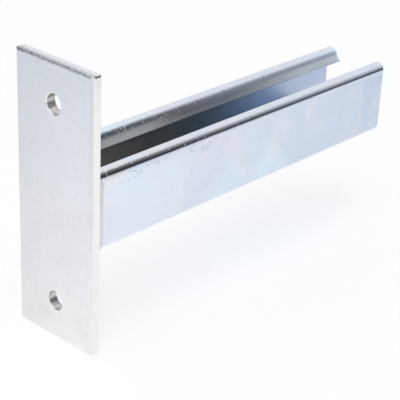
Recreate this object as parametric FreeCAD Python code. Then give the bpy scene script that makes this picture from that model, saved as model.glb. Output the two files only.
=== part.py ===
import FreeCAD, Part
import math
import os

from FreeCAD import Vector

# Cantilever strut arm: a length of lipped channel welded square to a flat back plate.
# Lengths are millimetres and angles are degrees.
# The origin is midway between the two bolt holes, on the face that goes against the wall.
# X runs out along the arm, Y across it, and Z up, towards the channel's open slot.

# Channel, folded from one strip with its slot upwards
channel_width = 41.0
channel_height = 41.0
channel_length = 223.0
sheet_thickness = 1.5
floor_bend_radius = 4.5
lip_bend_radius = 3.5
lip_flat = 0.5
lip_lean = 29.0
lip_return_length = 6.2
lip_return_radius = 35.0
strip_edge_radius = 0.3

# Fillet weld round the outside of the channel's foot
weld_leg_on_channel = 7.2
weld_leg_on_plate = 2.4
weld_crown = 0.4
weld_short_of_bend = 0.2
weld_end_fall = 2.0
weld_end_corner = 2.6

# Back plate, sheared from flat bar
plate_thickness = 5.0
plate_beyond_weld = 3.0
plate_corner_radius = 0.8
wall_side_edge_radius = 1.2
arm_side_edge_radius = 0.4
sheared_edge_radius = 1.1

# Bolt holes, punched from the wall side
hole_spacing = 102.0
hole_diameter = 9.5
hole_to_plate_end = 20.3
hole_mouth_radius = 0.5

# Worked out from the sizes above
half_channel = channel_width / 2
channel_bottom = -channel_height / 2
channel_foot = plate_thickness
plate_width = channel_width + 2 * (weld_leg_on_plate + plate_beyond_weld)
plate_height = hole_spacing + 2 * hole_to_plate_end
wall_height = channel_height - floor_bend_radius - lip_bend_radius
hole_radius = hole_diameter / 2
along_arm = Vector(1, 0, 0)


def straight(start, heading, run):
    # A straight stretch of outline in the YZ plane, and the point where it ends.
    reach = math.radians(heading)
    end = start + Vector(0, run * math.cos(reach), run * math.sin(reach))
    return Part.LineSegment(start, end).toShape(), end


def bend(start, heading, radius, turn):
    # A round stretch of outline that starts along the heading and turns left by the angle,
    # or right where the angle is negative, and the point where it ends.
    side = math.copysign(90, turn)
    to_centre = math.radians(heading + side)
    centre = start + Vector(0, radius * math.cos(to_centre), radius * math.sin(to_centre))

    def on_arc(share):
        spoke = math.radians(heading - side + turn * share)
        return centre + Vector(0, radius * math.cos(spoke), radius * math.sin(spoke))

    end = on_arc(1)
    return Part.Arc(start, on_arc(0.5), end).toShape(), end


def half_outline(depth):
    # One half of the channel's outline, from the middle of the floor round to the edge of the lip.
    # At depth 0 it follows the outer skin, and at the sheet's thickness it follows the inner skin.
    # The lip's last stretch curls back a little, so it is slightly hollow on its outer skin.
    curl = math.degrees(lip_return_length / lip_return_radius)
    point = Vector(0, 0, channel_bottom + depth)
    heading = 0
    edges = []
    steps = [
        ("straight", half_channel - floor_bend_radius),
        ("bend", floor_bend_radius - depth, 90),
        ("straight", wall_height),
        ("bend", lip_bend_radius - depth, 90),
        ("straight", lip_flat),
        ("bend", lip_bend_radius - depth, 90 - lip_lean),
        ("bend", lip_return_radius + depth, -curl),
    ]
    for step in steps:
        if step[0] == "straight":
            edge, point = straight(point, heading, step[1])
        else:
            edge, point = bend(point, heading, step[1], step[2])
            heading += step[2]
        edges.append(edge)
    return edges, point


def mirrored(shape):
    # The same shape on the other side of the plane that splits the arm lengthways.
    return shape.mirror(Vector(0, 0, 0), Vector(0, 1, 0))


def channel_section():
    # The folded strip seen end on: both skins, closed at the two strip edges.
    outer, outer_tip = half_outline(0)
    inner, inner_tip = half_outline(sheet_thickness)
    tip = Part.LineSegment(outer_tip, inner_tip).toShape()
    half = outer + inner + [tip]
    edges = half + [mirrored(edge) for edge in half]
    return Part.Face(Part.Wire(Part.sortEdges(edges)[0]))


def strip_edges(solid):
    # The four long edges where the lips end, found by the places of their tips in the section.
    tips = [half_outline(depth)[1] for depth in (0, sheet_thickness)]
    found = []
    for edge in solid.Edges:
        middle = edge.CenterOfMass
        beside = [abs(abs(middle.y) - tip.y) + abs(middle.z - tip.z) for tip in tips]
        if min(beside) < sheet_thickness / 10 and edge.Length > channel_length / 2:
            found.append(edge)
    return found


def channel():
    # The section carried along the arm, with the slit edges of the strip slightly rounded.
    section = channel_section()
    section.translate(along_arm * channel_foot)
    solid = section.extrude(along_arm * channel_length).removeSplitter()
    return solid.makeFillet(strip_edge_radius, strip_edges(solid))


def weld_section(foot):
    # The bead cut across, with its root at the foot: one leg along the channel, one up the plate,
    # and a crowned face between the two toes.
    channel_toe = foot + along_arm * weld_leg_on_channel
    plate_toe = foot + Vector(0, weld_leg_on_plate, 0)
    chord = plate_toe - channel_toe
    outwards = Vector(-chord.y, chord.x, 0) * (-1 / chord.Length)
    crown = (channel_toe + plate_toe) * 0.5 + outwards * weld_crown
    face_arc = Part.Arc(channel_toe, crown, plate_toe).toShape()
    legs = [Part.LineSegment(foot, channel_toe).toShape(), Part.LineSegment(plate_toe, foot).toShape()]
    return Part.Face(Part.Wire([legs[0], face_arc, legs[1]]))


def block_with_round_edges(low, high, radius, direction, is_wanted):
    # A plain block with some of the edges that run in one direction rounded off.
    size = high - low
    block = Part.makeBox(size.x, size.y, size.z, low)
    edges = []
    for edge in block.Edges:
        run = edge.Vertexes[1].Point - edge.Vertexes[0].Point
        if abs(run.dot(direction)) > edge.Length / 2 and is_wanted(edge.CenterOfMass):
            edges.append(edge)
    return block.makeFillet(radius, edges)


def weld_bead():
    # One pass up each wall and across the floor. It turns each floor bend about that bend's own axis,
    # and stops just below each lip bend, where its face falls to the wall and its toe rounds in.
    wall_low = channel_bottom + floor_bend_radius
    wall_top = wall_low + wall_height - weld_short_of_bend
    top_foot = Vector(channel_foot, half_channel, wall_top)
    low_foot = Vector(channel_foot, half_channel, wall_low)
    bend_axis = Vector(channel_foot, half_channel - floor_bend_radius, wall_low)
    side_run = weld_section(top_foot).extrude(low_foot - top_foot)
    low_section = weld_section(low_foot)
    corner = low_section.revolve(bend_axis, along_arm, -90)
    low_section.rotate(bend_axis, along_arm, -90)
    floor_run = low_section.extrude(Vector(0, -bend_axis.y, 0))
    half = side_run.fuse([corner, floor_run])
    bead = half.fuse(mirrored(half)).removeSplitter()

    def at_the_top(middle):
        return middle.z > wall_low

    def at_the_top_toe(middle):
        return middle.z > wall_low and middle.x > channel_foot + weld_leg_on_channel / 2

    reach = Vector(0, half_channel + weld_leg_on_plate, 0)
    low = Vector(channel_foot, 0, channel_bottom - weld_leg_on_plate) - reach
    high = Vector(channel_foot + weld_leg_on_channel, 0, wall_top) + reach
    falls = block_with_round_edges(low, high, weld_end_fall, Vector(1, 0, 0), at_the_top)
    toes = block_with_round_edges(low, high, weld_end_corner, Vector(0, 1, 0), at_the_top_toe)
    return bead.common(falls).common(toes).removeSplitter()


def sheared_bar():
    # The plate before punching, as the shape that four rounded blocks share: one gives the corners
    # seen from the front, two the rolled long edges on either side, and one the edge drawn down at
    # each cut end where the shear bit in on the wall side.
    def anywhere(middle):
        return True

    def on_wall_side(middle):
        return middle.x < plate_thickness / 2

    def on_arm_side(middle):
        return middle.x > plate_thickness / 2

    low = Vector(0, -plate_width / 2, -plate_height / 2)
    high = Vector(plate_thickness, plate_width / 2, plate_height / 2)
    corners = block_with_round_edges(low, high, plate_corner_radius, Vector(1, 0, 0), anywhere)
    worn_edges = block_with_round_edges(low, high, wall_side_edge_radius, Vector(0, 0, 1), on_wall_side)
    plain_edges = block_with_round_edges(low, high, arm_side_edge_radius, Vector(0, 0, 1), on_arm_side)
    cut_ends = block_with_round_edges(low, high, sheared_edge_radius, Vector(0, 1, 0), on_wall_side)
    return corners.common(worn_edges).common(plain_edges).common(cut_ends).removeSplitter()


def back_plate():
    # The bar with its two bolt holes, each rounded at the mouth where the punch drew the metal in.
    plate = sheared_bar()
    hole_heights = (-hole_spacing / 2, hole_spacing / 2)
    for height in hole_heights:
        punch = Part.makeCylinder(hole_radius, plate_thickness, Vector(0, 0, height), along_arm)
        plate = plate.cut(punch)
    mouths = []
    for edge in plate.Edges:
        near_a_hole = min(edge.CenterOfMass.distanceToPoint(Vector(0, 0, height)) for height in hole_heights)
        if near_a_hole < hole_radius / 2:
            mouths.append(edge)
    return plate.makeFillet(hole_mouth_radius, mouths)


def main():
    os.makedirs("parts", exist_ok=True)
    pieces = {
        "back_plate": back_plate(),
        "channel": channel(),
        "weld_bead": weld_bead(),
    }
    for name, shape in pieces.items():
        shape.exportStep("parts/" + name + ".step")
        print(name, "solids", len(shape.Solids), "valid", shape.isValid(), "volume", round(shape.Volume, 1))


main()
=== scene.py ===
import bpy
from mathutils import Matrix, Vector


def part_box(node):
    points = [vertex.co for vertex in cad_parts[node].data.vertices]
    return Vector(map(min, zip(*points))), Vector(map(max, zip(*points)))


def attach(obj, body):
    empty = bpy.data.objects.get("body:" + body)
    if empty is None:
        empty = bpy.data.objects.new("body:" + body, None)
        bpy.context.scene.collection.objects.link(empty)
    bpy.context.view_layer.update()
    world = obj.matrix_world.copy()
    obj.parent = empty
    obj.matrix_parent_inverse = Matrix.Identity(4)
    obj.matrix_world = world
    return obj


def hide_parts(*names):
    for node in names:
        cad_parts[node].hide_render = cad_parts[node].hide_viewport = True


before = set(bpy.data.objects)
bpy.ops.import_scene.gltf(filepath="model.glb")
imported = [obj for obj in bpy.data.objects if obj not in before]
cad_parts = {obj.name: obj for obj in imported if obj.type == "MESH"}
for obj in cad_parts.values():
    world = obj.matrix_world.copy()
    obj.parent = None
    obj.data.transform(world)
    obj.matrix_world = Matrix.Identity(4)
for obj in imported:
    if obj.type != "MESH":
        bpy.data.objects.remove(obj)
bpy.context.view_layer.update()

import math

import bmesh
import bpy
import numpy as np
from mathutils import Matrix, Vector

# Welded strut arm in bright zinc. Meshes are in metres. The dictionaries give lengths in millimetres,
# and only the studio's gives them in metres.
mm = 0.001
quarter = math.pi / 2
flip = np.array([-1, 1])  # mirrors the first of two coordinates
channelLow, channelHigh = (np.array(corner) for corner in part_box("channel"))
plateLow, plateHigh = (np.array(corner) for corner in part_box("back_plate"))


# Shared mesh and noise tools

meshing = {
    "seamGap": 0.002,  # points nearer than this are one
    "slimEdge": 0.001,
    "sharpFrom": 38,  # degrees between faces
}


def wander(places, spacing, seed):
    # Smooth wander between -1 and 1: random heights one spacing apart, joined by half cosine waves.
    knots = np.asarray(places) / spacing
    left = np.floor(knots).astype(int)
    share = (1 - np.cos(np.pi * (knots - left))) / 2
    first = left.min()
    heights = np.random.default_rng(seed).uniform(-1, 1, left.max() - first + 2)
    return heights[left - first] * (1 - share) + heights[left - first + 1] * share


def steepen(values, low, high):
    # 0 below low, 1 above high, and an S curve between, t * t * (3 - 2 t).
    t = np.clip((np.asarray(values) - low) / (high - low), 0, 1)
    return t * t * (3 - 2 * t)


def onward(rows, end=1.0):
    # Even steps from 0 to the end, without the 0.
    return np.linspace(0, end, rows + 1)[1:]


def travelAlong(path):
    # Distance from the first point to each point of the path: the sum of the steps before it.
    return np.concatenate([[0], np.cumsum(np.hypot(*np.diff(path, axis=0).T))])


def gridFaces(rows, columns, closedRows=False, closedColumns=False):
    # Quads between each point of a grid and its next neighbours, as an array of four indices.
    index = np.arange(rows * columns).reshape(rows, columns)
    if closedRows:
        index = np.concatenate([index, index[:1]])
    if closedColumns:
        index = np.concatenate([index, index[:, :1]], axis=1)
    return np.stack([index[:-1, :-1], index[1:, :-1], index[1:, 1:], index[:-1, 1:]], axis=-1)


def addPiece(name, points, quads, marks, node, finish):
    # Puts the arrays into a mesh, joins the seams, points the faces outwards and shades them smooth.
    mesh = bpy.data.meshes.new(name)
    points = np.asarray(points, dtype=np.float32).reshape(-1, 3)
    quads = np.asarray(quads, dtype=np.int32).reshape(-1, 4)
    mesh.vertices.add(len(points))
    mesh.vertices.foreach_set("co", points.ravel())
    mesh.loops.add(quads.size)
    mesh.loops.foreach_set("vertex_index", quads.ravel())
    mesh.polygons.add(len(quads))
    mesh.polygons.foreach_set("loop_start", np.arange(0, quads.size, 4, dtype=np.int32))
    mesh.update(calc_edges=True)
    layer = mesh.attributes.new("marks", "FLOAT_COLOR", "POINT")
    opaque = np.ones((len(points), 1), dtype=np.float32)
    values = np.concatenate([np.asarray(marks, dtype=np.float32).reshape(-1, 3), opaque], axis=1)
    layer.data.foreach_set("color", values.ravel())
    mesh.validate()
    shell = bmesh.new()
    shell.from_mesh(mesh)
    bmesh.ops.remove_doubles(shell, verts=shell.verts, dist=meshing["seamGap"] * mm)
    bmesh.ops.dissolve_degenerate(shell, edges=shell.edges, dist=meshing["slimEdge"] * mm)
    bmesh.ops.recalc_face_normals(shell, faces=shell.faces)
    openEdges = sum(1 for edge in shell.edges if not edge.is_manifold)
    shell.to_mesh(mesh)
    shell.free()
    mesh.polygons.foreach_set("use_smooth", np.ones(len(mesh.polygons), dtype=bool))
    mesh.set_sharp_from_angle(angle=math.radians(meshing["sharpFrom"]))
    mesh.materials.append(finish)
    piece = bpy.data.objects.new(name, mesh)
    bpy.context.scene.collection.objects.link(piece)
    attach(piece, "root")
    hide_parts(node)
    print(name, "faces", len(mesh.polygons), "open edges", openEdges)


# Shared node tools

noiseLow, noiseHigh = 0.3, 0.7  # where nearly all of a noise lies
spotCore = 0.4  # the part of a spot's size that is at full strength


def newTree(name):
    material = bpy.data.materials.new(name)
    material.use_nodes = True
    material.node_tree.nodes.clear()
    return material, material.node_tree


def addNode(tree, kind, inputs=None, **settings):
    # One node, with its settings and the values or wires of its inputs.
    made = tree.nodes.new(kind)
    for setting, value in settings.items():
        setattr(made, setting, value)
    for socket, value in (inputs or {}).items():
        if isinstance(value, bpy.types.NodeSocket):
            tree.links.new(value, made.inputs[socket])
        else:
            made.inputs[socket].default_value = value
    return made


def placeOn(tree):
    # Object coordinates, whole and split into the three axes.
    place = addNode(tree, "ShaderNodeTexCoord").outputs["Object"]
    return place, addNode(tree, "ShaderNodeSeparateXYZ", {"Vector": place}).outputs


def readMarks(tree):
    # The three painted marks of a piece, each from 0 to 1.
    marks = addNode(tree, "ShaderNodeAttribute", attribute_name="marks").outputs["Color"]
    return addNode(tree, "ShaderNodeSeparateColor", {"Color": marks}).outputs


def maths(tree, operation, first, second=0.0, clamp=False):
    made = addNode(tree, "ShaderNodeMath", {0: first, 1: second}, operation=operation, use_clamp=clamp)
    return made.outputs[0]


def times(tree, *values):
    # All the values multiplied, from left to right.
    product = values[0]
    for value in values[1:]:
        product = maths(tree, "MULTIPLY", product, value)
    return product


def addMasked(tree, value, mask, amount):
    # The value with the amount added where the mask is 1.
    return maths(tree, "ADD", value, times(tree, mask, amount))


def remap(tree, value, fromLow, fromHigh, toLow=0.0, toHigh=1.0):
    # Straight change of range, held at both ends.
    inputs = {"Value": value, "From Min": fromLow, "From Max": fromHigh, "To Min": toLow, "To Max": toHigh}
    return addNode(tree, "ShaderNodeMapRange", inputs).outputs[0]


def grey(level):
    return (level, level, level, 1.0)


def greyFrom(tree, level):
    # A grey colour from a wired level.
    return addNode(tree, "ShaderNodeCombineColor", {0: level, 1: level, 2: level}).outputs[0]


def blendColour(tree, share, first, second, mode="MIX"):
    inputs = {0: share, 6: first, 7: second}
    return addNode(tree, "ShaderNodeMix", inputs, data_type="RGBA", blend_type=mode).outputs[2]


def multiplyColour(tree, base, colour, share=1.0):
    return blendColour(tree, share, base, colour, "MULTIPLY")


def varyLevel(tree, base, pattern, darkest, lightest):
    # Makes the colour darker and lighter with a noise.
    level = remap(tree, pattern, noiseLow, noiseHigh, darkest, lightest)
    return multiplyColour(tree, base, greyFrom(tree, level))


def tintWhere(tree, base, pattern, tint):
    # Blends a tint in as the pattern goes from low to high, up to its share.
    share = remap(tree, pattern, tint["low"], tint["high"], 0.0, tint["share"])
    return blendColour(tree, share, base, tint["colour"])


def noiseAt(tree, place, scale, detail, roughness, stretch=None, distortion=0.0):
    # Noise on Object coordinates, stretched along the axes where a pattern has a grain.
    if stretch is not None:
        place = addNode(tree, "ShaderNodeMapping", {"Vector": place, "Scale": stretch}).outputs[0]
    inputs = {"Vector": place, "Scale": scale, "Detail": detail, "Roughness": roughness}
    inputs["Distortion"] = distortion
    return addNode(tree, "ShaderNodeTexNoise", inputs).outputs["Fac"]


def specksAt(tree, place, kind):
    # Small spots round the centres of the cells whose random value is above the rarity.
    cells = addNode(tree, "ShaderNodeTexVoronoi", {"Vector": place, "Scale": kind["scale"]})
    spot = remap(tree, cells.outputs["Distance"], kind["size"], kind["size"] * spotCore)
    lot = addNode(tree, "ShaderNodeSeparateColor", {"Color": cells.outputs["Color"]}).outputs[0]
    return times(tree, spot, maths(tree, "GREATER_THAN", lot, kind["rarity"]))


def dab(tree, base, mask, kind):
    # Puts the colour of a kind of speck or crease on the base where its mask is.
    return blendColour(tree, times(tree, mask, kind["share"]), base, kind["colour"])


def rampAt(tree, share, stops):
    # Colour between several stops, each given by its place from 0 to 1.
    ramp = addNode(tree, "ShaderNodeValToRGB", {"Fac": share})
    bands = ramp.color_ramp.elements
    while len(bands) < len(stops):
        bands.new(0.5)
    # All the places come first, because the bands change order when one passes another.
    for band, (where, colour) in zip(bands, stops):
        band.position = where
    for band, (where, colour) in zip(bands, stops):
        band.color = colour
    return ramp.outputs["Color"]


def closeTree(tree, colour, roughness, height, depth):
    # A metal shader under the colour, with the height pressed in as bump.
    bump = addNode(tree, "ShaderNodeBump", {"Height": height, "Distance": depth * mm, "Strength": 1.0})
    inputs = {"Base Color": colour, "Roughness": roughness, "Normal": bump.outputs[0], "Metallic": 1.0}
    shader = addNode(tree, "ShaderNodeBsdfPrincipled", inputs)
    addNode(tree, "ShaderNodeOutputMaterial", {"Surface": shader.outputs[0]})


# Zinc on the channel

channelFinish = {
    "nearPlate": (0.815, 0.857, 0.915, 1.0),
    "farEnd": (0.520, 0.612, 0.760, 1.0),
    "lipHighlightNearPlate": (0.726, 0.748, 0.780, 1.0),
    "lipHighlightFarEnd": (0.640, 0.710, 0.820, 1.0),
    # Stops go along the arm, from 0 at the plate to 1 at the open end.
    "insideShadeStops": (
        (0.17, (0.690, 0.680, 0.625, 1.0)),
        (0.33, (0.490, 0.480, 0.490, 1.0)),
        (0.55, (0.370, 0.400, 0.410, 1.0)),
        (0.66, (0.350, 0.415, 0.470, 1.0)),
        (0.77, (0.430, 0.510, 0.640, 1.0)),
        (0.95, (0.500, 0.580, 0.760, 1.0)),
    ),
    "returnShadeStops": (
        (0.17, (0.94, 0.87, 0.80, 1.0)),
        (0.25, (0.95, 0.89, 0.84, 1.0)),
        (0.31, (0.84, 0.79, 0.75, 1.0)),
        (0.42, (0.46, 0.46, 0.46, 1.0)),
        (0.58, (0.38, 0.42, 0.44, 1.0)),
        (0.85, (1.00, 0.99, 0.96, 1.0)),
    ),
    "clouds": {"scale": 17.0, "detail": 2.0, "roughness": 0.45, "distortion": 0.6},
    "lavender": {"low": 0.53, "high": 0.66, "share": 0.45, "colour": (0.676, 0.728, 0.858, 1.0)},
    "icy": {"low": 0.53, "high": 0.38, "share": 0.70, "colour": (0.700, 0.830, 0.950, 1.0)},
    "blush": {"scale": 30.6, "detail": 3.0, "roughness": 0.5, "distortion": 1.0},
    "rosy": {"low": 0.52, "high": 0.68, "share": 0.30, "colour": (0.860, 0.800, 0.840, 1.0)},
    "elsewhere": (0.31, 0.17, 0.05),  # shifts a noise so that it differs from the first
    "shoulderShade": (0.730, 0.755, 0.830, 1.0),
    "shoulderFoot": (16.4, 17.0),
    "shoulderTop": (19.0, 18.2),
    "mottle": {"scale": 150.0, "detail": 4.0, "roughness": 0.6},
    "mottleLevels": (0.975, 1.015),
    "lines": {"scale": 900.0, "detail": 2.0, "roughness": 0.6, "stretch": (0.04, 1.0, 1.0)},
    "lineLevels": (0.992, 1.006),
    "smuts": {"scale": 420.0, "size": 0.15, "rarity": 0.987, "share": 0.5, "colour": grey(0.34)},
    "nicks": {"scale": 336.0, "size": 0.15, "rarity": 0.98, "share": 0.6, "colour": grey(0.95)},
    "scuffs": {"scale": 560.0, "size": 0.26, "rarity": 0.48, "share": 0.8, "colour": grey(0.97)},
    "scuffsEnd": (0.60, 0.35),
    "creaseNoise": {
        "scale": 640.0, "detail": 2.0, "roughness": 0.55, "stretch": (0.38, 1.0, 0.9), "distortion": 0.5,
    },
    "creasePatches": {"scale": 150.0, "detail": 3.0, "roughness": 0.6},
    "patchSpan": (0.50, 0.60),
    "creaseWide": (0.040, 0.012),
    "creaseHeights": (7.0, 14.0),
    "creaseEnd": (0.50, 0.36),
    "crease": {"share": 0.6, "colour": (0.520, 0.510, 0.530, 1.0)},
    "roughness": (0.11, 0.16),
    "smutRough": 0.2,
    "scuffRough": 0.3,
    "insideRough": 0.12,
    "returnRough": 0.34,
    "returnRoughEnd": (0.42, 0.30),
    "lineRelief": 0.25,
    "mottleRelief": 0.5,
    "nickRelief": -0.8,
    "scuffRelief": 1.6,
    "creaseRelief": -0.9,
    "reliefDepth": 0.03,
}


def makeChannelZinc(look):
    # Rolled strip under thin clear zinc: soft clouds of tint, drawn lines along the arm, nicks and smuts.
    # The inside carries painted shade along the arm, the lip returns painted shade and painted reflection,
    # and the lips a colour set to the brightness of their highlights, which is painted highlight.
    material, tree = newTree("channelZinc")
    place, axes = placeOn(tree)
    shifted = addNode(tree, "ShaderNodeMapping", {"Vector": place, "Location": look["elsewhere"]}).outputs[0]
    along = remap(tree, axes[0], channelLow[0], channelHigh[0])
    inside, lip, lipReturn = readMarks(tree)[0:3]

    base = blendColour(tree, along, look["nearPlate"], look["farEnd"])
    # Painted highlight: the lips take their own colour along the arm, matched to how bright their highlights
    # are.
    lipHighlightColour = blendColour(tree, along, look["lipHighlightNearPlate"], look["lipHighlightFarEnd"])
    base = blendColour(tree, lip, base, lipHighlightColour)
    clouds = noiseAt(tree, place, **look["clouds"])
    base = tintWhere(tree, base, clouds, look["lavender"])
    base = tintWhere(tree, base, clouds, look["icy"])
    base = tintWhere(tree, base, noiseAt(tree, shifted, **look["blush"]), look["rosy"])
    # Painted shade inside the channel: darkest about halfway along, lighter and bluer towards the open end.
    base = blendColour(tree, inside, base, rampAt(tree, along, look["insideShadeStops"]))
    # Painted shade and painted reflection on the lip returns: bright near the plate, darkest around halfway
    # along, bright again at the open end.
    base = multiplyColour(tree, base, rampAt(tree, along, look["returnShadeStops"]), lipReturn)

    # Painted shade: a darker band along the outer skin where the wall turns into the lip bend.
    foot, top = (np.array(look[name]) * mm for name in ("shoulderFoot", "shoulderTop"))
    outside = remap(tree, maths(tree, "ADD", inside, lipReturn), 1.0, 0.4)
    shoulderShade = times(tree, outside, remap(tree, axes[2], *foot), remap(tree, axes[2], *top))
    base = multiplyColour(tree, base, look["shoulderShade"], shoulderShade)

    mottle = noiseAt(tree, place, **look["mottle"])
    base = varyLevel(tree, base, mottle, *look["mottleLevels"])
    lines = noiseAt(tree, place, **look["lines"])
    base = varyLevel(tree, base, lines, *look["lineLevels"])
    smuts = specksAt(tree, place, look["smuts"])
    base = dab(tree, base, smuts, look["smuts"])
    nicks = specksAt(tree, shifted, look["nicks"])
    base = dab(tree, base, nicks, look["nicks"])
    onLip = times(tree, lip, remap(tree, along, *look["scuffsEnd"]))
    scuffs = times(tree, specksAt(tree, shifted, look["scuffs"]), onLip)
    base = dab(tree, base, scuffs, look["scuffs"])

    # Fine creases on the wall just under the lip bend, where the rolls rubbed: the thin contours of a
    # warped noise, in patches.
    warped = noiseAt(tree, place, **look["creaseNoise"])
    away = maths(tree, "ABSOLUTE", maths(tree, "SUBTRACT", warped, 0.5))
    patch = remap(tree, noiseAt(tree, shifted, **look["creasePatches"]), *look["patchSpan"])
    underBend = remap(tree, axes[2], *np.array(look["creaseHeights"]) * mm)
    onWall = remap(tree, maths(tree, "ADD", inside, lip), 1.0, 0.6)
    underBend = times(tree, underBend, remap(tree, along, *look["creaseEnd"]), onWall)
    creases = times(tree, remap(tree, away, *look["creaseWide"]), times(tree, patch, underBend))
    base = dab(tree, base, creases, look["crease"])

    roughness = remap(tree, clouds, noiseLow, noiseHigh, *look["roughness"])
    roughness = addMasked(tree, roughness, smuts, look["smutRough"])
    roughness = addMasked(tree, roughness, scuffs, look["scuffRough"])
    roughness = addMasked(tree, roughness, inside, look["insideRough"])
    frosted = times(tree, lipReturn, remap(tree, along, *look["returnRoughEnd"]))
    roughness = addMasked(tree, roughness, frosted, look["returnRough"])
    height = addMasked(tree, times(tree, lines, look["lineRelief"]), mottle, look["mottleRelief"])
    height = addMasked(tree, height, nicks, look["nickRelief"])
    height = addMasked(tree, height, scuffs, look["scuffRelief"])
    height = addMasked(tree, height, creases, look["creaseRelief"])
    closeTree(tree, base, roughness, height, look["reliefDepth"])
    return material


# Zinc on the plate

plateFinish = {
    "top": (0.640, 0.680, 0.745, 1.0),
    "foot": (0.835, 0.822, 0.830, 1.0),
    "rightLightGain": 1.12,
    "clouds": {"scale": 34.0, "detail": 3.0, "roughness": 0.55, "distortion": 0.6},
    "patch": {"low": 0.45, "high": 0.70, "share": 0.35, "colour": (0.720, 0.740, 0.770, 1.0)},
    "mottle": {"scale": 320.0, "detail": 4.0, "roughness": 0.7},
    "mottleLevels": (0.97, 1.02),
    "smuts": {"scale": 380.0, "size": 0.15, "rarity": 0.988, "share": 0.5, "colour": grey(0.30)},
    "tear": {"scale": 1300.0, "detail": 4.0, "roughness": 0.7, "stretch": (0.5, 1.0, 0.6)},
    "tearSpan": (0.40, 0.57, 0.15, 1.0),
    "tornAndShadeDark": (0.200, 0.200, 0.210, 1.0),
    "bore": (0.830, 0.825, 0.810, 1.0),
    "boreCover": 1.5,
    "streaks": {"scale": 1500.0, "detail": 3.0, "roughness": 0.6, "stretch": (0.06, 1.0, 1.0)},
    "streakSpan": (0.40, 0.65, 0.0, 0.8),
    "boreDark": (0.220, 0.220, 0.220, 1.0),
    "highlightAndBurnishColour": (0.885, 0.896, 0.890, 1.0),
    "chips": {"scale": 620.0, "size": 0.32, "rarity": 0.50},
    "chip": (0.640, 0.650, 0.560, 1.0),
    "chipShare": 0.75,
    "chipGround": 0.22,
    "chipsInFromEdge": (3.0, 1.6),
    "chipsDeep": (1.4, 0.7),
    "chipsUp": (0.30, 0.90),
    "roughness": (0.33, 0.41),
    "tornRough": 0.2,
    "rimRough": -0.20,
    "mottleRelief": 0.5,
    "tornRelief": 3.0,
    "boreRelief": 1.2,
    "reliefDepth": 0.05,
}


def makePlateZinc(look):
    # Flat bar under zinc: cooler at the top, painted lighter towards low Y, with a torn dark band where the
    # shear drew the edge down, streaked bores, painted highlights on the hole mouths, the rounded long edges
    # and the sides, painted shade at the bottom of each mouth, a bright cleanly sheared band on the cut ends,
    # and chips on the rounded edge at low Y, more of them further up.
    material, tree = newTree("plateZinc")
    place, axes = placeOn(tree)
    torn, bore, highlightAndBurnish = readMarks(tree)[0:3]
    up = remap(tree, axes[2], plateLow[2], plateHigh[2])
    base = blendColour(tree, up, look["foot"], look["top"])
    # Painted light: the plate grows lighter towards low Y.
    gain = remap(tree, axes[1], plateHigh[1], plateLow[1], 1.0, look["rightLightGain"])
    base = multiplyColour(tree, base, greyFrom(tree, gain))
    clouds = noiseAt(tree, place, **look["clouds"])
    base = tintWhere(tree, base, clouds, look["patch"])
    mottle = noiseAt(tree, place, **look["mottle"])
    base = varyLevel(tree, base, mottle, *look["mottleLevels"])
    base = dab(tree, base, specksAt(tree, place, look["smuts"]), look["smuts"])

    tear = noiseAt(tree, place, **look["tear"])
    # The torn mark darkens the sheared band of the top end, and also carries painted shade at the bottom of
    # each hole's mouth.
    tornAndShadeShare = times(tree, torn, remap(tree, tear, *look["tearSpan"]))
    base = blendColour(tree, tornAndShadeShare, base, look["tornAndShadeDark"])
    boreShare = maths(tree, "MULTIPLY", bore, look["boreCover"], clamp=True)
    base = blendColour(tree, boreShare, base, look["bore"])
    streaks = noiseAt(tree, place, **look["streaks"])
    streakShare = times(tree, bore, remap(tree, streaks, *look["streakSpan"]))
    base = blendColour(tree, streakShare, base, look["boreDark"])
    # Painted highlight on the hole mouths, the rounded long edges and the long sides; on the cut ends the
    # same colour marks the cleanly sheared band.
    base = blendColour(tree, highlightAndBurnish, base, look["highlightAndBurnishColour"])

    onRight = remap(tree, axes[1], *plateLow[1] + np.array(look["chipsInFromEdge"]) * mm)
    onRound = times(tree, onRight, remap(tree, axes[0], *np.array(look["chipsDeep"]) * mm))
    onRound = times(tree, onRound, remap(tree, up, *look["chipsUp"]))
    chips = times(tree, specksAt(tree, place, look["chips"]), look["chipShare"])
    chipShare = times(tree, maths(tree, "ADD", chips, look["chipGround"]), onRound)
    base = blendColour(tree, chipShare, base, look["chip"])

    roughness = remap(tree, clouds, noiseLow, noiseHigh, *look["roughness"])
    roughness = addMasked(tree, roughness, torn, look["tornRough"])
    roughness = addMasked(tree, roughness, highlightAndBurnish, look["rimRough"])
    height = times(tree, mottle, look["mottleRelief"])
    height = addMasked(tree, height, times(tree, torn, tear), look["tornRelief"])
    height = addMasked(tree, height, times(tree, bore, streaks), look["boreRelief"])
    closeTree(tree, base, roughness, height, look["reliefDepth"])
    return material


# Zinc on the weld

weldFinish = {
    "crest": (0.930, 0.915, 0.915, 1.0),
    "valley": (0.700, 0.680, 0.685, 1.0),
    "valleyShadeShare": 0.7,
    "toeShadeShare": 0.5,
    "grit": {"scale": 900.0, "detail": 4.0, "roughness": 0.7},
    "gritLevels": (0.88, 1.06),
    "roughness": (0.36, 0.50),
    "reliefDepth": 0.08,
}


def makeWeldZinc(look):
    # Weld metal under zinc: pinkish grey crests, painted shade in the valleys between the ripples and along
    # the toes, and a rough skin.
    material, tree = newTree("weldZinc")
    place = addNode(tree, "ShaderNodeTexCoord").outputs["Object"]
    valley, toe = readMarks(tree)[0:2]
    # Painted shade in the ripple valleys and along the toes.
    share = times(tree, valley, look["valleyShadeShare"])
    share = maths(tree, "ADD", share, times(tree, toe, look["toeShadeShare"]), clamp=True)
    base = blendColour(tree, share, look["crest"], look["valley"])
    grit = noiseAt(tree, place, **look["grit"])
    base = varyLevel(tree, base, grit, *look["gritLevels"])
    roughness = remap(tree, grit, noiseLow, noiseHigh, *look["roughness"])
    closeTree(tree, base, roughness, grit, look["reliefDepth"])
    return material


# The channel

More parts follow.
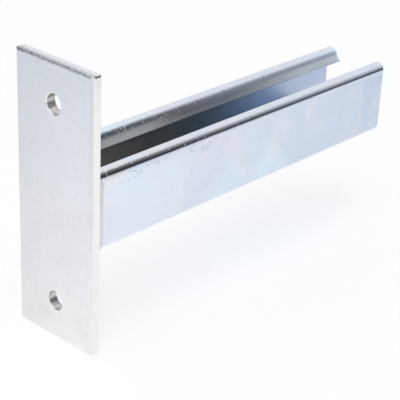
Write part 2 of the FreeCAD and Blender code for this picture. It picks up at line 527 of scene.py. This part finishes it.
channelShape = {
    "sheet": 1.5,
    "floorBend": 4.5,
    "lipBend": 3.5,
    "lipFlat": 0.5,
    "lipLean": 29.0,
    "lipReturn": 6.2,
    "returnRadius": 35.0,
    "slitRound": 0.3,
    "cutRound": 0.15,
    "steps": (14, 18, 24, 20, 2, 14, 12),  # of each stretch, from the floor's middle to the tip
    "slitSteps": 5,
    "cutSteps": 4,
    "stationEvery": 2.0,
    "stationMargin": 1.0,
    "nearLipScores": (14.5, 75.8, 114.2),
    "farLipScores": (58.6, 109.4, 130.1, 162.6),
    "scoreWide": 0.45,
    "scoreDeep": 0.10,
    "scoreFade": 0.2,
    "scoreLean": 0.12,
    "scoreBelowTop": (4.5, 2.5),
    "scoreFacing": -0.2,  # least upward part of the normal
    "scoreReach": 1.2,
    "scoreStations": 13,
    "lipMarkHeights": (14.0, 16.0),
    "returnMarkLean": (0.71, 0.76),
    "returnMarkTop": 18.4,
    "returnMarkFade": 2.2,
}


def stripSkin(shape):
    # Outer skin of half the folded strip, from the middle of the floor to just before the slit edge.
    # Each step goes on by its chord, length * sin(turn / 2) / (turn / 2), and the heading grows by its turn.
    halfWide = (channelHigh[1] - channelLow[1]) / 2 / mm
    tall = (channelHigh[2] - channelLow[2]) / mm
    lipTurn = math.radians(90 - shape["lipLean"])
    returnRun = shape["lipReturn"] - shape["slitRound"]
    stretches = [
        (halfWide - shape["floorBend"], 0),
        (shape["floorBend"] * quarter, quarter),
        (tall - shape["floorBend"] - shape["lipBend"], 0),
        (shape["lipBend"] * quarter, quarter),
        (shape["lipFlat"], 0),
        (shape["lipBend"] * lipTurn, lipTurn),
        (returnRun, -returnRun / shape["returnRadius"]),
    ]
    counts = np.array(shape["steps"])
    lengths, angles = np.array(stretches).T / counts
    steps = np.repeat(lengths, counts)
    turns = np.repeat(angles, counts)
    heading = np.concatenate([[0], np.cumsum(turns)])
    midway = heading[:-1] + turns / 2
    chords = steps * np.sinc(turns / 2 / math.pi)
    y = np.concatenate([[0], np.cumsum(chords * np.cos(midway))])
    z = np.concatenate([[0], np.cumsum(chords * np.sin(midway))]) + channelLow[2] / mm
    skin = np.stack([y, z], axis=1)
    outward = np.stack([np.sin(heading), -np.cos(heading)], axis=1)
    return skin, outward


def stripLoop(shape):
    # Closed section of the strip. The right half goes out along the outer skin, round the slit edge by two
    # quarter circles, and back along the inner skin. The left half is its mirror image, walked backwards.
    skin, outward = stripSkin(shape)
    sheet, edge = shape["sheet"], shape["slitRound"]
    onwards = np.array([-outward[-1, 1], outward[-1, 0]])
    angle = np.linspace(0, quarter, shape["slitSteps"])[:, None]
    firstOut = outward[-1] * np.cos(angle) + onwards * np.sin(angle)
    lastOut = (onwards * np.sin(angle) - outward[-1] * np.cos(angle))[::-1]
    firstTurn = skin[-1] - outward[-1] * edge + firstOut * edge
    lastTurn = skin[-1] - outward[-1] * (sheet - edge) + lastOut * edge
    half = np.concatenate([skin[:-1], firstTurn, lastTurn, (skin - outward * sheet)[-2::-1]])
    halfOut = np.concatenate([outward[:-1], firstOut, lastOut, -outward[-2::-1]])
    loop = np.concatenate([half, (half * flip)[-2:0:-1]])
    loopOut = np.concatenate([halfOut, (halfOut * flip)[-2:0:-1]])
    inside = (np.arange(len(half)) > len(skin) + shape["slitSteps"]).astype(float)
    return loop, loopOut, np.concatenate([inside, inside[-2:0:-1]]), len(half)


def channelStations(shape):
    # Places along the arm, even, but closer round each score, and the inset of the section at each end,
    # where a quarter circle breaks the sawn edge.
    start, end, cut = channelLow[0] / mm, channelHigh[0] / mm, shape["cutRound"]
    even = np.arange(start + shape["stationMargin"], end - shape["stationMargin"], shape["stationEvery"])
    scores = np.array(shape["nearLipScores"] + shape["farLipScores"])
    reach = np.linspace(-shape["scoreReach"], shape["scoreReach"], shape["scoreStations"])
    close = (scores[:, None] + reach[None, :]).ravel()
    middle = np.unique(np.round(np.concatenate([even, close]), 3))
    angle = np.linspace(0, quarter, shape["cutSteps"])
    nearEnd = start + cut - cut * np.sin(angle[::-1])
    farEnd = end - cut + cut * np.sin(angle)
    inset = cut - cut * np.cos(angle)
    places = np.concatenate([nearEnd, middle, farEnd])
    return places, np.concatenate([inset[::-1], np.zeros(len(middle)), inset])


def lipScores(shape, loop, loopOut, places):
    # Depth of the scores at each point: a Gaussian groove across the outside of a lip,
    # depth * exp(-(distance / half width) squared), which leans a little along the arm.
    top = channelHigh[2] / mm
    low, high = shape["scoreBelowTop"]
    lipZone = steepen(loop[:, 1], top - low, top - high) * (loopOut @ [0, 1] > shape["scoreFacing"])
    depth = np.zeros((len(places), len(loop)))
    for scores, side in ((shape["nearLipScores"], -1), (shape["farLipScores"], 1)):
        onSide = lipZone * (np.sign(loop[:, 0]) == side)
        for number, score in enumerate(scores):
            lean = score + shape["scoreLean"] * (loop[:, 1] - top)
            away = (places[:, None] - lean[None, :]) / (shape["scoreWide"] / 2)
            fade = 1 - shape["scoreFade"] * (number % 3)
            depth += np.exp(-away ** 2) * onSide[None, :] * shape["scoreDeep"] * fade
    return depth


def buildChannel(shape, finish):
    # Section carried along the arm: point = (station, loop - outward normal * (end inset + score depth)).
    # The marks are the inside, the lip and the lip's return.
    loop, loopOut, inside, halfCount = stripLoop(shape)
    places, inset = channelStations(shape)
    rows, columns = len(places), len(loop)
    push = inset[:, None] + lipScores(shape, loop, loopOut, places)
    points = np.empty((rows, columns, 3))
    points[..., 0] = places[:, None]
    points[..., 1:] = loop[None] - loopOut[None] * push[..., None]

    quads = gridFaces(rows, columns, closedColumns=True).reshape(-1, 4)
    step = np.arange(halfCount // 2 - 1)
    capRight = np.stack([step, step + 1, halfCount - 2 - step, halfCount - 1 - step], axis=1)
    capLeft = (columns - capRight) % columns
    lastRow = (rows - 1) * columns
    caps = np.concatenate([capRight[:, ::-1], capLeft, capRight + lastRow, capLeft[:, ::-1] + lastRow])

    marks = np.zeros((rows, columns, 3))
    marks[..., 0] = inside[None, :]
    marks[..., 1] = (steepen(loop[:, 1], *shape["lipMarkHeights"]) * (1 - inside))[None, :]
    inwards = loopOut[:, 0] * np.sign(loop[:, 0])
    underTop = steepen(shape["returnMarkTop"] - loop[:, 1], 0.0, shape["returnMarkFade"])
    marks[..., 2] = (steepen(-inwards, *shape["returnMarkLean"]) * underTop * (1 - inside))[None, :]
    faces = np.concatenate([quads, caps])
    addPiece("channelSkin", points * mm, faces, marks, "channel", finish)


# The plate

plateShape = {
    "corner": 0.8,
    "wornRound": 1.2,
    "plainRound": 0.4,
    "shearRound": 1.1,
    "cutRound": 0.06,
    "holeRadius": 4.75,
    "holeMouth": 0.5,
    "holeSpacing": 102.0,
    # Points along half the outline, and ribbons from the hole over the front and back to the hole
    "cornerSteps": 7,
    "sideSteps": 90,
    "endSteps": 190,
    "seamSteps": 40,
    "seamInset": 2,
    "faceRows": 22,
    "faceCrowding": 1.3,
    "frontEdgeRows": 7,
    "sideRows": 8,
    "backEdgeRows": 4,
    "backRows": 13,
    "boreRows": 8,
    "mouthRows": 4,
    # Wear of the two cut ends: the shear tore the top end, and hardly the foot
    "ends": (
        {"side": 1, "seeds": (11, 12, 18), "torn": 1.0},
        {"side": -1, "seeds": (47, 48, 54), "torn": 0.12},
    ),
    "tornGain": 0.9,
    "tornReach": 4.0,
    "ragged": (0.84, 0.10, 0.06),
    "raggedEvery": (2.1, 0.7),
    # Where the painted highlight on the rounded long edges begins
    "edgeHighlightFrom": 0.6,
    # The cut side, where spans go from 0 at its front to 1 at its back
    "chatterEvery": 0.55,
    "digDeep": (0.05, 0.09),
    "digSpan": (0.3, 0.6),
    "digStop": 0.12,
    "drawnSpan": (0.05, 0.34),
    "cleanCut": 0.30,
    "cleanSpan": (0.15, 0.40),
    # Painted highlight and painted shade on the hole's mouth, by direction across and up
    "highlightTowards": (0.85, 0.53),
    "highlightSpan": (-0.75, -0.10),
    "shadedTowards": (-0.45, -0.89),
    "shadedSpan": (0.72, 0.95),
    "shadedShare": 0.7,
    "rimShare": 0.6,
    "rimNarrow": 70,
    "exitMark": 0.4,
    "boreFade": 0.5,
}


def halfOutline(shape, halfWide, halfTall):
    # Half of the plate's outline and its outward normals, anticlockwise from the middle of the right edge,
    # over the top, down to the middle of the left edge, and back along the seam, where the normal is zero.
    corner, inset = shape["corner"], shape["seamInset"]
    sideSteps, endSteps, seamSteps = shape["sideSteps"], shape["endSteps"], shape["seamSteps"]
    angle = np.linspace(0, quarter, shape["cornerSteps"])[1:-1]
    up = np.linspace(0, halfTall - corner, sideSteps)
    over = np.linspace(halfWide - corner, corner - halfWide, endSteps)
    seam = np.linspace(inset - halfWide, halfWide - inset, seamSteps)
    arc = np.stack([np.cos(angle), np.sin(angle)], axis=1)
    rightCorner = np.array([halfWide - corner, halfTall - corner])
    points = np.concatenate([
        np.stack([np.full(sideSteps, halfWide), up], axis=1),
        rightCorner + corner * arc,
        np.stack([over, np.full(endSteps, halfTall)], axis=1),
        (rightCorner + corner * arc)[::-1] * flip,
        np.stack([np.full(sideSteps, -halfWide), up[::-1]], axis=1),
        np.stack([seam, np.zeros(seamSteps)], axis=1),
    ])
    normals = np.concatenate([
        np.tile([1.0, 0.0], (sideSteps, 1)), arc, np.tile([0.0, 1.0], (endSteps, 1)),
        arc[::-1] * flip, np.tile([-1.0, 0.0], (sideSteps, 1)), np.zeros((seamSteps, 2)),
    ])
    return points, normals


def drawnIn(edge, halfWide, halfTall, side, end):
    # The outline held inside a smaller rectangle: each coordinate is at most its half size less the inset.
    return np.sign(edge) * np.minimum(np.abs(edge), np.stack([halfWide - side, halfTall - end], axis=1))


def drawnDown(shape, end, edge, onEnd, halfWide):
    # Radius that the shear left along a cut end: its usual radius, made ragged by two wanders. Past the
    # rounded long edges the raggedness is held, so that the corner's points fall together.
    travel = travelAlong(edge)
    straight = np.flatnonzero((onEnd > 0.999) & (np.abs(edge[:, 0]) < halfWide - shape["wornRound"]))
    held = np.clip(travel, travel[straight[0]], travel[straight[-1]])
    usual, slow, quick = shape["ragged"]
    slowEvery, quickEvery = shape["raggedEvery"]
    slowPart = slow * wander(held, slowEvery, end["seeds"][0])
    quickPart = quick * wander(held, quickEvery, end["seeds"][1])
    return shape["shearRound"] * (usual + slowPart + quickPart)


def halfRing(shape, end, halfWide, halfTall, thick):
    # Every point of the outline is joined to the hole by one closed ribbon, which runs over the front face,
    # round the front edge, across the side, round the back edge, in over the back face, through the bore
    # and out over the hole's mouth. The marks are torn metal with painted shade at the bottom of the mouth,
    # bore, and painted highlight, which on the cut ends also marks the cleanly sheared band.
    edge, normal = halfOutline(shape, halfWide, halfTall)
    count = len(edge)
    onSide, onEnd = normal[:, 0] ** 2, normal[:, 1] ** 2
    gain = shape["tornGain"]
    tornEnd = end["torn"] * onEnd * (gain + gain * np.exp((edge[:, 0] - halfWide) / shape["tornReach"]))
    worn = np.full(count, shape["wornRound"])
    drawn = drawnDown(shape, end, edge, onEnd, halfWide)
    front = worn * (1 - onEnd) + drawn * onEnd
    plain = np.full(count, shape["plainRound"])
    cut = np.full(count, shape["cutRound"])
    back = plain * (1 - onEnd) + cut * onEnd

    hole, mouth = shape["holeRadius"], shape["holeMouth"]
    centre = np.array([0, shape["holeSpacing"] / 2])
    spoke = edge - centre
    spoke = spoke / np.hypot(*spoke.T)[:, None]
    mouthEdge = centre + spoke * (hole + mouth)
    exitHole = centre + spoke * hole
    # The mouth has a painted highlight on one side and painted shade opposite, at the bottom.
    turned = spoke * np.array([1, end["side"]])
    mouthHighlight = steepen(turned @ np.array(shape["highlightTowards"]), *shape["highlightSpan"])
    shaded = steepen(turned @ np.array(shape["shadedTowards"]), *shape["shadedSpan"])
    ribbons, ribbonMarks = [], []

    def ribbon(flat, across, torn=0.0, bore=0.0, highlightAndBurnish=0.0):
        point, mark = np.empty((count, 3)), np.empty((count, 3))
        point[:, 0] = across
        point[:, 1:] = flat
        mark[:, 0], mark[:, 1], mark[:, 2] = torn, bore, highlightAndBurnish
        ribbons.append(point)
        ribbonMarks.append(mark)

    outer = drawnIn(edge, halfWide, halfTall, worn, drawn)
    for share in np.linspace(0, 1, shape["faceRows"]) ** shape["faceCrowding"]:
        # Painted highlight on the face round the mouth; painted shade at the bottom of the mouth goes in the
        # torn mark.
        nearRim = math.exp(-((share * shape["rimNarrow"]) ** 2)) * shape["rimShare"] * mouthHighlight
        torn = tornEnd * (share > 0.999) + shape["shadedShare"] * shaded * (share < 0.001)
        ribbon(mouthEdge * (1 - share) + outer * share, 0.0, torn, highlightAndBurnish=nearRim)
    for angle in onward(shape["frontEdgeRows"], quarter):
        share = 1 - math.sin(angle)
        flat = drawnIn(edge, halfWide, halfTall, worn * share, drawn * share)
        torn = tornEnd * steepen(math.cos(angle), 0.0, 0.5)
        # Painted highlight on the rounded long edges, growing towards the side.
        edgeHighlight = onSide * steepen(math.sin(angle), shape["edgeHighlightFrom"], 1.0)
        ribbon(flat, front * (1 - math.cos(angle)), torn, highlightAndBurnish=edgeHighlight)
    chatter = wander(travelAlong(edge), shape["chatterEvery"], end["seeds"][2]) * 0.5 + 0.5
    digLeast, digMore = shape["digDeep"]
    for level in onward(shape["sideRows"]):
        across = front + (thick - back - front) * level
        dig = onEnd * steepen(level, *shape["digSpan"]) * (digLeast + digMore * chatter)
        dig = dig * steepen(1 - level, 0.0, shape["digStop"])
        drawnBand = tornEnd * (1 - steepen(level, *shape["drawnSpan"]))
        cleanCut = shape["cleanCut"] * end["torn"] * onEnd * steepen(level, *shape["cleanSpan"])
        # The long sides are painted lighter, which is painted light; on the cut ends the cleanly sheared band
        # is bright.
        ribbon(edge - normal * dig[:, None], across, drawnBand, highlightAndBurnish=onSide + cleanCut)
    for angle in onward(shape["backEdgeRows"], quarter):
        share = 1 - math.cos(angle)
        flat = drawnIn(edge, halfWide, halfTall, plain * share, cut * share)
        ribbon(flat, thick - back + back * math.sin(angle))
    backEdge = drawnIn(edge, halfWide, halfTall, plain, cut)
    for share in onward(shape["backRows"]):
        flat = backEdge * (1 - share) + exitHole * share
        ribbon(flat, thick, bore=shape["exitMark"] * (share > 0.999))
    for level in onward(shape["boreRows"]):
        ribbon(exitHole, thick + (mouth - thick) * level, bore=1.0 - shape["boreFade"] * level)
    # The mouth's rounding: painted shade at the bottom, painted highlight on one side.
    for angle in onward(shape["mouthRows"] + 1, quarter)[:-1]:
        flat = centre + spoke * (hole + mouth * (1 - math.cos(angle)))
        turn = math.sin(angle)
        ribbon(flat, mouth - mouth * turn, shaded * turn, highlightAndBurnish=turn * mouthHighlight)

    grid = np.stack(ribbons)
    grid[..., 2] *= end["side"]
    return grid, np.stack(ribbonMarks)


def buildPlate(shape, finish):
    # Two half rings that meet along the seam across the plate's middle. The seam's ribbons have no side.
    halfWide = (plateHigh[1] - plateLow[1]) / 2 / mm
    halfTall = (plateHigh[2] - plateLow[2]) / 2 / mm
    thick = (plateHigh[0] - plateLow[0]) / mm
    sideStart = shape["faceRows"] - 1
    sideRows = sideStart + np.arange(shape["frontEdgeRows"] + shape["sideRows"] + shape["backEdgeRows"])
    grids, marks, quads = [], [], []
    for end in shape["ends"]:
        grid, gridMarks = halfRing(shape, end, halfWide, halfTall, thick)
        rows, count = grid.shape[:2]
        faces = gridFaces(rows, count, closedRows=True, closedColumns=True)
        seamColumns = np.arange(count - shape["seamSteps"] - 1, count)
        keep = np.ones(faces.shape[:2], dtype=bool)
        keep[np.ix_(sideRows, seamColumns)] = False
        quads.append(faces[keep] + sum(len(part) for part in grids))
        grids.append(grid.reshape(-1, 3))
        marks.append(gridMarks.reshape(-1, 3))
    points, faces, marks = (np.concatenate(parts) for parts in (grids, quads, marks))
    addPiece("plateSkin", points * mm, faces, marks, "back_plate", finish)


# The weld

weldShape = {
    "legOnChannel": 7.2,
    "legOnPlate": 2.4,
    "crown": 0.4,
    "shortOfBend": 0.2,
    "endFall": 2.0,
    "endCorner": 2.6,
    "faceSteps": 19,
    "fallSteps": 22,
    "stationEvery": 0.16,
    "ripplePitch": 1.25,
    "rippleDeep": 0.14,
    "rippleSharp": 1.6,
    "rippleBow": 1.1,
    "rippleFade": 2.0,
    "pitchWander": {"share": 0.16, "every": 3.0, "seed": 5},
    "depthWander": {"share": 0.25, "every": 2.3, "seed": 9},
    "toeWander": {"share": 0.30, "every": 4.0, "seed": 21},
    "toeMarkFrom": 0.8,
}


def weldFace(shape):
    # The bead's crowned face as points (along the channel, out on the plate), on the circle through both
    # toes and the crown, with its outward normals.
    toeA = np.array([shape["legOnChannel"], 0.0])
    toeB = np.array([0.0, shape["legOnPlate"]])
    chord = np.hypot(*(toeB - toeA))
    radius = (chord ** 2 / 4 + shape["crown"] ** 2) / (2 * shape["crown"])
    out = np.array([toeB[1], toeA[0]]) / chord
    centre = (toeA + toeB) / 2 - out * (radius - shape["crown"])
    spread = math.asin(chord / 2 / radius)
    angle = np.linspace(-spread, spread, shape["faceSteps"])[:, None]
    side = (toeB - toeA) / chord
    normal = out * np.cos(angle) + side * np.sin(angle)
    return centre + normal * radius, normal


def weldPath(shape):
    # The bead's way round the outside of the channel: distance from the floor's middle, the foot on the
    # channel's skin and the outward direction there. One half is worked out and mirrored for the other.
    skin, outward = stripSkin(channelShape)
    topFoot = channelHigh[2] / mm - channelShape["lipBend"] - shape["shortOfBend"]
    onWall = (outward[:, 0] > 0.9999) & (skin[:, 1] < topFoot)
    last = int(np.nonzero(onWall)[0].max())
    travelAt = travelAlong(skin)
    length = travelAt[last] + (topFoot - skin[last, 1])
    fallStart = length - shape["endFall"]
    fall = np.sin(np.linspace(0, quarter, shape["fallSteps"]))
    even = np.arange(0, fallStart - shape["stationEvery"] / 2, shape["stationEvery"])
    travel = np.concatenate([even, fallStart + shape["endFall"] * fall])
    reachable = np.append(travelAt[:last + 1], length)
    footY = np.interp(travel, reachable, np.append(skin[:last + 1, 0], skin[last, 0]))
    footZ = np.interp(travel, reachable, np.append(skin[:last + 1, 1], topFoot))
    lean = np.interp(travel, travelAt, np.arctan2(outward[:, 1], outward[:, 0]))
    foot = np.stack([footY, footZ], axis=1)
    out = np.stack([np.cos(lean), np.sin(lean)], axis=1)
    foot = np.concatenate([(foot * flip)[:0:-1], foot])
    out = np.concatenate([(out * flip)[:0:-1], out])
    return np.concatenate([-travel[:0:-1], travel]), foot, out, length


def quarterFall(past, radius, leg):
    # Share of a leg that is left where a quarter circle rounds it off: (leg - r + sqrt(r * r - s * s)) / leg,
    # for the distance s past the circle's start.
    reach = np.clip(past, 0, radius)
    return (leg - radius + np.sqrt(radius ** 2 - reach ** 2)) / leg


def buildWeld(shape, finish):
    # The section carried along the channel's skin: point = foot + along * X + out * outward normal.
    # Crescent ripples sink the face by depth * (1 - cos(2 pi * (travel / pitch + bow * v * v))) / 2.
    # Under each lip bend the face falls to the wall and the toe rounds in, each by its quarter circle.
    travel, foot, out, length = weldPath(shape)
    fromTop = length - np.abs(travel)
    outShare = quarterFall(shape["endFall"] - fromTop, shape["endFall"], shape["legOnPlate"])
    alongShare = quarterFall(shape["endCorner"] - fromTop, shape["endCorner"], shape["legOnChannel"])

    def wanderOf(kind):
        return wander(travel, shape[kind]["every"], shape[kind]["seed"])

    face, faceOut = weldFace(shape)
    across = np.linspace(-1, 1, len(face))
    phase = travel[:, None] / shape["ripplePitch"] + shape["rippleBow"] * across[None, :] ** 2
    phase = phase + shape["pitchWander"]["share"] * wanderOf("pitchWander")[:, None]
    valley = (1 - np.cos(2 * math.pi * phase)) / 2
    unsteady = shape["depthWander"]["share"]
    strength = 1 - unsteady + unsteady * wanderOf("depthWander")
    strength = strength * steepen(fromTop, 0.0, shape["rippleFade"])
    fade = 1 - np.abs(across) ** 3
    sink = shape["rippleDeep"] * valley ** shape["rippleSharp"] * strength[:, None] * fade[None, :]
    toe = 1 - shape["toeWander"]["share"] / shape["legOnChannel"] * (0.5 + 0.5 * wanderOf("toeWander"))
    section = face[None] * toe[:, None, None] - faceOut[None] * sink[..., None]
    section = np.concatenate([section, np.zeros((len(travel), 1, 2))], axis=1)
    section = section * np.stack([alongShare, outShare], axis=1)[:, None, :]
    rows, columns = section.shape[:2]
    points = np.empty((rows, columns, 3))
    points[..., 0] = plateHigh[0] / mm + section[..., 0]
    points[..., 1:] = foot[:, None] + section[..., 1:] * out[:, None]

    quads = gridFaces(rows, columns, closedColumns=True).reshape(-1, 4)
    step = np.arange(columns // 2 - 1)
    cap = np.stack([step, step + 1, columns - 2 - step, columns - 1 - step], axis=1)
    faces = np.concatenate([quads, cap, cap + (rows - 1) * columns])
    marks = np.zeros((rows, columns, 3))
    # Marks where shade is painted: the ripple valleys and the toes.
    marks[:, :-1, 0] = valley * fade
    marks[:, :-1, 1] = steepen(np.abs(across), shape["toeMarkFrom"], 1.0)[None, :]
    addPiece("weldSkin", points * mm, faces, marks, "weld_bead", finish)


# Floor, surround and light

studio = {
    "floorSize": 8.0,
    "floorGap": 0.0004,
    "floorColour": (0.90, 0.905, 0.91, 1.0),
    "floorLift": 0.42,
    "skyForShade": 0.55,
    "surroundRadius": 1.1,
    "surroundSteps": 96,
    "surroundTop": 1.80,
    "whiteFrom": 1.05,
    "leanFrom": 0.68,
    "leanShare": 0.27,
    # Level across the surround, from the front right to further round: stretches of Y, and what each adds
    "sideLevels": (
        (-0.85, -0.71, 0.05, 0.20),
        (-0.71, -0.60, 0.0, 0.30),
        (-0.60, -0.33, 0.0, 0.50),
    ),
    "nearFloor": (-0.05, 0.20, 0.5, 1.0),
    "leastLevel": (0.45, 0.65, 0.40, 0.0),  # by X, out to beyond the arm's open end
    "lowCardCentre": 0.16,
    "lowCardRadius": 0.34,
    "lowCardTurn": (-76, -18),
    "lowCardSteps": 40,
    "lowCardTop": -0.006,
    "lowCardLevel": 0.07,
    "lampPlace": (-0.3, -0.4, 1.9),
    "lampTarget": (0.1, 0.0, 0.0),
    "lampSize": 1.4,
    "lampPower": 4.5,
}

floorLevel = plateLow[2] - studio["floorGap"]


def seenDirectly(tree):
    # 1 for what the camera sees, also in the metal's gloss and through glass, and 0 for matte light.
    path = addNode(tree, "ShaderNodeLightPath").outputs
    seen = maths(tree, "ADD", path["Is Camera Ray"], path["Is Glossy Ray"])
    return maths(tree, "ADD", seen, path["Is Transmission Ray"], clamp=True)


def makeFloor(look):
    # Pale floor just under the plate. To the camera and in the metal it glows a little, so that it meets
    # the white behind it, and it keeps the arm's shadow.
    material, tree = newTree("paleFloor")
    matte = addNode(tree, "ShaderNodeBsdfDiffuse", {"Color": look["floorColour"]})
    lift = times(tree, seenDirectly(tree), look["floorLift"])
    glow = addNode(tree, "ShaderNodeEmission", {"Color": grey(1.0), "Strength": lift})
    both = addNode(tree, "ShaderNodeAddShader", {0: matte.outputs[0], 1: glow.outputs[0]})
    addNode(tree, "ShaderNodeOutputMaterial", {"Surface": both.outputs[0]})
    half = look["floorSize"] / 2
    corners = [(x, y, floorLevel) for x, y in ((-half, -half), (half, -half), (half, half), (-half, half))]
    mesh = bpy.data.meshes.new("floor")
    mesh.from_pydata(corners, [], [(0, 1, 2, 3)])
    mesh.materials.append(material)
    floor = bpy.data.objects.new("floor", mesh)
    bpy.context.scene.collection.objects.link(floor)


def standCard(name, centre, radius, turn, top, material, closed):
    # A curved card that stands on the floor: point = (centre + radius * cos, radius * sin, height). It is
    # there for the metal to reflect, so the camera and matte surfaces don't see it.
    points = np.empty((2, len(turn), 3))
    points[..., 0] = centre + radius * np.cos(turn)
    points[..., 1] = radius * np.sin(turn)
    points[..., 2] = np.array([floorLevel, top])[:, None]
    quads = gridFaces(2, len(turn), closedColumns=closed).reshape(-1, 4)
    mesh = bpy.data.meshes.new(name)
    mesh.from_pydata(points.reshape(-1, 3).tolist(), [], quads.tolist())
    mesh.materials.append(material)
    card = bpy.data.objects.new(name, mesh)
    bpy.context.scene.collection.objects.link(card)
    card.visible_camera = False
    card.visible_diffuse = False
    card.visible_shadow = False


def glowWith(tree, colour):
    glow = addNode(tree, "ShaderNodeEmission", {"Color": colour, "Strength": 1.0})
    addNode(tree, "ShaderNodeOutputMaterial", {"Surface": glow.outputs[0]})


def makeSurround(look):
    # A tall ring of card round the set gives the metal something darker than white near the horizon: dark
    # at the front right, and white further round and further up, with an edge that leans.
    material, tree = newTree("surroundCard")
    axes = placeOn(tree)[1]
    lift = maths(tree, "MAXIMUM", maths(tree, "SUBTRACT", axes[2], look["leanFrom"]), 0.0)
    across = maths(tree, "SUBTRACT", axes[1], times(tree, lift, look["leanShare"]))
    level = remap(tree, across, *look["sideLevels"][0])
    for stretch in look["sideLevels"][1:]:
        level = maths(tree, "ADD", level, remap(tree, across, *stretch))
    level = times(tree, level, remap(tree, axes[2], *look["nearFloor"]))
    level = maths(tree, "MAXIMUM", level, remap(tree, axes[2], look["whiteFrom"], look["surroundTop"]))
    level = maths(tree, "MAXIMUM", level, remap(tree, axes[0], *look["leastLevel"]))
    glowWith(tree, greyFrom(tree, level))
    turn = np.linspace(0, 2 * math.pi, look["surroundSteps"] + 1)[:-1]
    standCard("surround", 0.0, look["surroundRadius"], turn, look["surroundTop"], material, True)


def makeLowCard(look):
    # A low dark card nearer the arm meets the floor where the photograph's floor stops.
    material, tree = newTree("lowCard")
    glowWith(tree, grey(look["lowCardLevel"]))
    turn = np.radians(np.linspace(*look["lowCardTurn"], look["lowCardSteps"]))
    centre, radius = look["lowCardCentre"], look["lowCardRadius"]
    standCard("lowCard", centre, radius, turn, look["lowCardTop"], material, False)


def makeSky(look):
    # White behind everything that the camera and the metal see, and a softer sky for matte surfaces.
    world = bpy.data.worlds.new("sky")
    world.use_nodes = True
    tree = world.node_tree
    tree.nodes.clear()
    strength = remap(tree, seenDirectly(tree), 0.0, 1.0, look["skyForShade"], 1.0)
    glow = addNode(tree, "ShaderNodeBackground", {"Color": grey(1.0), "Strength": strength})
    addNode(tree, "ShaderNodeOutputWorld", {"Surface": glow.outputs[0]})
    bpy.context.scene.world = world


def makeLamp(look):
    # One wide lamp overhead, turned to the arm.
    data = bpy.data.lights.new("overhead", "AREA")
    data.shape = "DISK"
    data.size = look["lampSize"]
    data.energy = look["lampPower"]
    lamp = bpy.data.objects.new("overhead", data)
    lamp.location = look["lampPlace"]
    towards = Vector(look["lampTarget"]) - Vector(look["lampPlace"])
    lamp.rotation_euler = towards.to_track_quat("-Z", "Y").to_euler()
    bpy.context.scene.collection.objects.link(lamp)


cameraSet = {
    "place": (-365.6264, -419.9517, 278.0068),
    "right": (0.6832309682, -0.7290451324, 0.0410930526),
    "down": (-0.2969553740, -0.3288253911, -0.8964883535),
    "ahead": (0.6670929095, 0.6003058030, -0.4411575603),
    "lens": 119.6334,
    "sensorWide": 36.0,
    "clip": (0.01, 50.0),  # in metres
}


def makeCamera(look):
    data = bpy.data.cameras.new("camera")
    data.sensor_width = look["sensorWide"]
    data.lens = look["lens"]
    data.clip_start, data.clip_end = look["clip"]
    camera = bpy.data.objects.new("camera", data)
    right, down, ahead = (Vector(look[name]) for name in ("right", "down", "ahead"))
    turned = Matrix((right, -down, -ahead)).transposed().to_4x4()
    camera.matrix_world = Matrix.Translation(Vector(look["place"]) * mm) @ turned
    bpy.context.scene.collection.objects.link(camera)
    bpy.context.scene.camera = camera


buildChannel(channelShape, makeChannelZinc(channelFinish))
buildPlate(plateShape, makePlateZinc(plateFinish))
buildWeld(weldShape, makeWeldZinc(weldFinish))
print("pieces made")

makeFloor(studio)
makeSurround(studio)
makeLowCard(studio)
makeSky(studio)
makeLamp(studio)
makeCamera(cameraSet)
bpy.context.scene.view_settings.view_transform = "Standard"
print("studio made")
